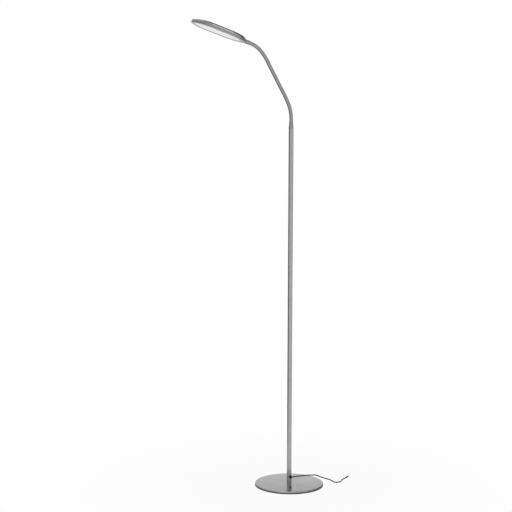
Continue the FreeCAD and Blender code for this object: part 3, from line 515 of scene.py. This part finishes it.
def rib_stations(span, first, last):
    """Places along a stretch where the ribs rise and fall, with how deep each lies in its groove."""
    stations = []
    for rib in range(first, last):
        for phase, depth in RIB_SHAPE:
            point, slope = on_span(span, (rib + phase) / RIBS_IN_LINK)
            stations.append((point, slope, depth))
    return stations


def hose_piece(name, stations):
    """One length of the ribbed hose, through rings at its stations."""
    mesh_data = bmesh.new()
    across = Vector((1, 0, 0))
    rings = []
    for point, slope, depth in stations:
        up = slope.cross(across).normalized()
        radius = HOSE_RADIUS - RIB_GROOVE * depth
        ring = []
        for side in range(HOSE_SIDES):
            angle = 2 * math.pi * side / HOSE_SIDES
            arm = across * math.cos(angle) + up * math.sin(angle)
            ring.append(mesh_data.verts.new(point + arm * radius))
        rings.append(ring)
    for lower, upper in zip(rings, rings[1:]):
        bridge(mesh_data, lower, upper)
    return mesh_piece(name, mesh_data, "neck_metal", smooth_angle=HOSE_SMOOTH_ANGLE)


def neck_ends():
    """The flared foot on the pole's top and the collar at the head."""
    low = Matrix.Translation((0, 0, pole_top))
    foot = turned("foot_ferrule", FERRULE_OUTLINE, low, "neck_metal", "stand")
    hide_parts("neck_foot_ferrule")
    along = Matrix.Translation(neck_centres[-1]) @ pointing(head_along, "Z", "X")
    ring = turned("head_collar", COLLAR_OUTLINE, along, "neck_metal", "head")
    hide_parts("neck_collar")


def oval_outline(inset):
    """Points of the head's outline, drawn in by an inset: end arcs, shoulder arcs and straight sides."""
    arcs = []
    for side, end, radius, shoulder in (
        (1, HEAD_LENGTH, TIP_RADIUS, TIP_SHOULDER),
        (-1, 0.0, REAR_RADIUS, REAR_SHOULDER),
    ):
        middle = end - side * radius
        reach = math.sqrt((shoulder - radius) ** 2 - (shoulder - HEAD_HALF_WIDTH) ** 2)
        start = middle - side * reach
        turn = math.atan2(shoulder - HEAD_HALF_WIDTH, reach)
        arcs.append((side, middle, radius, start, shoulder, turn))
    points = []
    for side, middle, radius, start, shoulder, turn in arcs:
        quarter = math.pi / 2
        for centre, size, first, last, steps in (
            ((start, shoulder - HEAD_HALF_WIDTH), shoulder, -quarter, -turn, SHOULDER_STEPS),
            ((middle, 0), radius, -turn, turn, END_STEPS),
            ((start, HEAD_HALF_WIDTH - shoulder), shoulder, turn, quarter, SHOULDER_STEPS),
        ):
            for step in range(steps):
                angle = first + (last - first) * step / steps
                x = centre[0] + side * (size - inset) * math.cos(angle)
                y = side * (centre[1] + (size - inset) * math.sin(angle))
                points.append((x, y))
        points += side_points(arcs, side, inset)
    return points


def side_points(arcs, side, inset):
    """Points of the straight side that follows one end of the outline."""
    tip_start, rear_start = arcs[0][3], arcs[1][3]
    begin, finish = (tip_start, rear_start) if side > 0 else (rear_start, tip_start)
    half = (HEAD_HALF_WIDTH - inset) * side
    return [(begin + (finish - begin) * step / SIDE_STEPS, half) for step in range(SIDE_STEPS)]


def crown_drop(x):
    """How far the head's top lies below its highest, at a distance from its rear end."""
    drop = 0.0
    for distance, slope, fall in (
        (REAR_SLOPE - x, REAR_SLOPE, REAR_DROP),
        (x - HEAD_LENGTH + TIP_SLOPE, TIP_SLOPE, TIP_DROP),
    ):
        if distance > 0:
            radius = (slope**2 + fall**2) / (2 * fall)
            drop = max(drop, radius - math.sqrt(radius**2 - distance**2))
    return drop


def dome(mesh_data, inset, height, edge, low):
    """The open skin of the head's top: wall, rounded edge and crown. Returns its lowest ring."""
    outer = [Vector(point) for point in oval_outline(inset)]
    inwards = [(Vector(point) - start) / edge for point, start in zip(oval_outline(inset + edge), outer)]
    edges = [edge * (height - crown_drop(point.x) - low) / (height - low) for point in outer]
    made = []
    for step in range(WALL_STEPS):
        ring = []
        for point, rounding in zip(outer, edges):
            shoulder = height - crown_drop(point.x) - rounding
            level = low + (shoulder - low) * step / WALL_STEPS
            ring.append(mesh_data.verts.new((*point, level)))
        made.append(ring)
    for step in range(ROUND_STEPS + 1):
        angle = math.radians(90 * step / ROUND_STEPS)
        ring = []
        for point, inward, rounding in zip(outer, inwards, edges):
            place = point + inward * rounding * (1 - math.cos(angle))
            level = height - crown_drop(place.x) - rounding * (1 - math.sin(angle))
            ring.append(mesh_data.verts.new((*place, level)))
        made.append(ring)
    edge_ring = [vertex.co.copy() for vertex in made[-1]]
    spine_low, spine_high = REAR_RADIUS, HEAD_LENGTH - TIP_RADIUS
    for share in TOP_RINGS:
        ring = []
        for place in edge_ring:
            spine_x = min(max(place.x, spine_low), spine_high)
            x, y = place.x + (spine_x - place.x) * share, place.y * (1 - share)
            ring.append(mesh_data.verts.new((x, y, height - crown_drop(x))))
        made.append(ring)
    for lower, upper in zip(made, made[1:]):
        bridge(mesh_data, lower, upper)
    return made[0]


def head_shell():
    """The hollow top shell, with the button's hole and the mouth for the neck cut through it."""
    mesh_data = bmesh.new()
    outer = dome(mesh_data, 0.0, HEAD_HEIGHT, SHELL_EDGE, FRAME_THICKNESS)
    inner_edge = SHELL_EDGE - SHELL_WALL / 2
    inner = dome(mesh_data, SHELL_WALL, HEAD_HEIGHT - SHELL_WALL, inner_edge, FRAME_THICKNESS)
    bridge(mesh_data, outer, inner)
    bmesh.ops.remove_doubles(mesh_data, verts=mesh_data.verts, dist=1e-6)
    for vertex in mesh_data.verts:
        vertex.co = head_place @ vertex.co
    shell = mesh_piece("head_shell", mesh_data, "head_metal")
    button = head_place @ Matrix.Translation((BUTTON_PLACE, 0, HEAD_HEIGHT))
    cut_hole(shell, button, BUTTON_HOLE, BUTTON_CUT)
    mouth_middle = Matrix.Translation((MOUTH_REACH / 2, 0, HEAD_AXIS_HEIGHT))
    mouth = head_place @ mouth_middle @ Matrix.Rotation(math.pi / 2, 4, "Y")
    cut_hole(shell, mouth, MOUTH_RADIUS, MOUTH_REACH + MOUTH_SPARE)
    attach(shell, "head")
    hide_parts("head_top_shell")


def cut_hole(item, place, radius, length):
    """Cut a round hole through a piece."""
    mesh_data = bmesh.new()
    bmesh.ops.create_cone(
        mesh_data, cap_ends=True, segments=64,
        radius1=radius, radius2=radius, depth=length, matrix=place,
    )
    tool = linked("hole", mesh_from("hole", mesh_data))
    change = item.modifiers.new("hole", "BOOLEAN")
    change.operation = "DIFFERENCE"
    change.solver = "EXACT"
    change.object = tool
    apply_modifiers(item)
    bpy.data.objects.remove(tool)
    mark_sharp(item)


def apply_modifiers(item):
    """Bake a piece's modifiers into its mesh."""
    graph = bpy.context.evaluated_depsgraph_get()
    mesh = bpy.data.meshes.new_from_object(item.evaluated_get(graph))
    item.modifiers.clear()
    item.data = mesh


def mark_sharp(item):
    """Smooth a cut piece again, with its new edges sharp."""
    mesh_data = bmesh.new()
    mesh_data.from_mesh(item.data)
    smooth_shaded(mesh_data, SMOOTH_ANGLE)
    mesh_data.to_mesh(item.data)
    mesh_data.free()


def cord():
    """The free cord on its smooth line, with the small connector on its end."""
    curve = bpy.data.curves.new("cord_line", "CURVE")
    curve.dimensions = "3D"
    curve.bevel_depth = CORD_RADIUS
    curve.bevel_resolution = 5
    curve.use_fill_caps = True
    line = curve.splines.new("NURBS")
    line.points.add(len(CORD_ROUTE) - 1)
    for point, place in zip(line.points, CORD_ROUTE):
        point.co = (*place, 1)
    line.order_u = 3
    line.use_endpoint_u = True
    line.resolution_u = 12
    item = linked("power_cord", curve)
    dress(item, "cord_jacket")
    item.visible_glossy = False
    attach(item, "stand")
    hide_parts("cord")
    last, end = Vector(CORD_ROUTE[-2]), Vector(CORD_ROUTE[-1])
    place = Matrix.Translation(end) @ pointing(end - last, "Z", "Y")
    outline = [(0, -0.0004), (0.0022, -0.0004), (0.0026, 0.0)]
    for step in range(GRIP_STEPS):
        outline.append((GRIP_RADIUS - GRIP_GROOVE * (step % 2), GRIP_START + GRIP_PITCH * step))
    outline += [
        (GRIP_RADIUS, 0.007), (GRIP_RADIUS, 0.0114), (0.0023, CONNECTOR_END), (0, CONNECTOR_END),
    ]
    body = turned("connector_body", outline, place, "black_plastic", "stand", CONNECTOR_SIDES)
    tip = turned("connector_pin", PIN_OUTLINE, place, "contact_metal", "stand", CONNECTOR_SIDES)
    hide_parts("cord_connector")
    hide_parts("connector_tip")


def base_disc():
    """The round plate, its upper and lower edges rounded, over the hole for the sunk bolt."""
    low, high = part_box("base_plate")
    radius, bottom, top = high.x, low.z, high.z
    recess_top = bottom + BOLT_RECESS_DEPTH
    profile = [(BOLT_RECESS, bottom)]
    profile += arc((radius - LOWER_ROUND, bottom + LOWER_ROUND), LOWER_ROUND, -90, 0, 3)
    profile += arc((radius - UPPER_ROUND, top - UPPER_ROUND), UPPER_ROUND, 0, 90, 6)
    profile += [(BOLT_HOLE, top), (BOLT_HOLE, recess_top), (BOLT_RECESS, recess_top)]
    item = turned("base_disc", profile, Matrix.Identity(4), "base_steel", "stand", DISC_SIDES)
    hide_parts("base_plate")


def base_pad():
    """The soft foam disc under the base, its lower edge rounded."""
    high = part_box("base_pad")[1]
    radius, height = high.x, high.z
    profile = [
        (0, 0), (radius - PAD_ROUND, 0), (radius - PAD_ROUND_MIDDLE, PAD_ROUND_MIDDLE),
        (radius, PAD_ROUND), (radius, height), (0, height),
    ]
    item = turned("foam_pad", profile, Matrix.Identity(4), "pad_foam", "stand", PAD_SIDES)
    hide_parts("base_pad")


def lobe(tree, direction, axis, spread):
    """One within a cone about an axis, falling to nothing at a wider cone."""
    inner, outer = spread
    towards = add_node(tree, "ShaderNodeVectorMath", operation="DOT_PRODUCT")
    towards.inputs[1].default_value = Vector(axis).normalized()
    tree.links.new(direction, towards.inputs[0])
    share = add_node(tree, "ShaderNodeMapRange", interpolation_type="SMOOTHSTEP")
    share.inputs["From Min"].default_value = math.cos(math.radians(outer))
    share.inputs["From Max"].default_value = math.cos(math.radians(inner))
    tree.links.new(towards.outputs["Value"], share.inputs["Value"])
    return share.outputs["Result"]


def product(tree, first, second):
    """Two numbers multiplied; the second may be a plain value."""
    multiply = add_node(tree, "ShaderNodeMath", operation="MULTIPLY")
    tree.links.new(first, multiply.inputs[0])
    if isinstance(second, float):
        multiply.inputs[1].default_value = second
    else:
        tree.links.new(second, multiply.inputs[1])
    return multiply.outputs["Value"]


def stepped(tree, source, limits, levels):
    """A smooth step of a number from one level to another, between two limits."""
    step = add_node(tree, "ShaderNodeMapRange", interpolation_type="SMOOTHSTEP")
    for name, value in zip(("From Min", "From Max", "To Min", "To Max"), (*limits, *levels)):
        step.inputs[name].default_value = value
    tree.links.new(source, step.inputs["Value"])
    return step.outputs["Result"]


def dimmed(tree, level, side, depth):
    """Take a dark side off a level."""
    rest = add_node(tree, "ShaderNodeMath", operation="SUBTRACT")
    rest.inputs[0].default_value = 1.0
    tree.links.new(product(tree, side, depth), rest.inputs[1])
    return product(tree, rest.outputs["Value"], level)


def any_of(tree, path, *names):
    """One for any of some kinds of ray."""
    value = path.outputs[names[0]]
    for name in names[1:]:
        either = add_node(tree, "ShaderNodeMath", operation="MAXIMUM")
        tree.links.new(value, either.inputs[0])
        tree.links.new(path.outputs[name], either.inputs[1])
        value = either.outputs["Value"]
    return value


def ray_kinds(tree, path):
    """Rays that show the background in metal and glass too, and those that show it plain."""
    shown = any_of(tree, path, "Is Camera Ray", "Is Glossy Ray", "Is Transmission Ray")
    plain = any_of(tree, path, "Is Camera Ray", "Is Transmission Ray")
    return shown, plain


def mixed(tree, share, first, second):
    """A number between two numbers or sockets, by a share."""
    mix = add_node(tree, "ShaderNodeMapRange")
    tree.links.new(share, mix.inputs["Value"])
    for name, value in (("To Min", first), ("To Max", second)):
        if isinstance(value, (int, float)):
            mix.inputs[name].default_value = value
        else:
            tree.links.new(value, mix.inputs[name])
    return mix.outputs["Result"]


def studio():
    """Pale floor, white surroundings and soft lamps."""
    scene = bpy.context.scene
    scene.view_settings.view_transform = "Standard"
    world = bpy.data.worlds.new("studio")
    scene.world = world
    world.use_nodes = True
    tree = world.node_tree
    tree.nodes.clear()
    output = add_node(tree, "ShaderNodeOutputWorld")
    light = add_node(tree, "ShaderNodeBackground")
    light.inputs["Color"].default_value = (1, 1, 1, 1)
    place = add_node(tree, "ShaderNodeTexCoord")
    direction = place.outputs["Generated"]
    height = add_node(tree, "ShaderNodeSeparateXYZ")
    tree.links.new(direction, height.inputs[0])
    low_down = stepped(tree, height.outputs["Z"], LEFT_TOP, (1.0, 0.0))
    room = stepped(tree, height.outputs["Z"], UPPER_RANGE, (1.0, UPPER_ROOM))
    for name, (axis, spread, depth) in DARK_SIDES.items():
        side = lobe(tree, direction, axis, spread)
        if name == "left":
            side = product(tree, side, low_down)
        room = dimmed(tree, room, side, depth)
    shown, plain = ray_kinds(tree, add_node(tree, "ShaderNodeLightPath"))
    strength = product(tree, mixed(tree, shown, ROOM_LIGHT, 1.0), mixed(tree, plain, room, 1.0))
    tree.links.new(strength, light.inputs["Strength"])
    tree.links.new(light.outputs["Background"], output.inputs["Surface"])
    floor()
    for name, place, target, energy, size in LAMPS:
        lamp(name, Vector(place), Vector(target), energy, size)


def lamp(name, place, target, energy, size):
    """A square area lamp that faces its target."""
    data = bpy.data.lights.new(name, "AREA")
    data.energy = energy
    data.size = size
    item = linked(name, data)
    item.matrix_world = Matrix.Translation(place) @ pointing(target - place, "-Z", "Y")


def floor():
    """A pale floor: white to the eye away from the lamp, with the lamp's soft shadow near it."""
    mesh_data = bmesh.new()
    bmesh.ops.create_grid(mesh_data, x_segments=1, y_segments=1, size=FLOOR_HALF)
    item = linked("floor", mesh_from("floor", mesh_data))
    material = bpy.data.materials.new("pale_floor")
    material.use_nodes = True
    tree = material.node_tree
    tree.nodes.clear()
    output = add_node(tree, "ShaderNodeOutputMaterial")
    matt = add_node(tree, "ShaderNodeBsdfDiffuse")
    matt.inputs["Color"].default_value = (FLOOR_GREY, FLOOR_GREY, FLOOR_GREY, 1)
    place = add_node(tree, "ShaderNodeTexCoord")
    distance = add_node(tree, "ShaderNodeVectorMath", operation="LENGTH")
    tree.links.new(place.outputs["Object"], distance.inputs[0])
    away = stepped(tree, distance.outputs["Value"], AWAY_RANGE, (0.0, 1.0))
    heading = add_node(tree, "ShaderNodeVectorMath", operation="NORMALIZE")
    tree.links.new(place.outputs["Object"], heading.inputs[0])
    path = add_node(tree, "ShaderNodeLightPath")
    axis, spread, depth = DARK_SIDES["left"]
    dark = product(tree, lobe(tree, heading.outputs["Vector"], axis, spread), away)
    dark = product(tree, dark, path.outputs["Is Glossy Ray"])
    bright = add_node(tree, "ShaderNodeEmission")
    tree.links.new(dimmed(tree, 1.0, dark, depth), bright.inputs["Strength"])
    shown, plain = ray_kinds(tree, path)
    mirrored = stepped(tree, distance.outputs["Value"], MIRRORED_RANGE, (MIRRORED_LEAST, 1.0))
    under = stepped(tree, distance.outputs["Value"], UNDER_RANGE, (0.0, 1.0))
    seen = product(tree, under, mixed(tree, away, NEAR_SHARE, 1.0))
    share = product(tree, shown, mixed(tree, plain, mirrored, seen))
    mix = add_node(tree, "ShaderNodeMixShader")
    tree.links.new(share, mix.inputs["Fac"])
    tree.links.new(matt.outputs["BSDF"], mix.inputs[1])
    tree.links.new(bright.outputs["Emission"], mix.inputs[2])
    tree.links.new(mix.outputs["Shader"], output.inputs["Surface"])
    item.data.materials.append(material)


make_camera()
cord()
dress_nodes()
base_disc()
base_pad()
neck_ends()
hose_pieces()
head_shell()
studio()
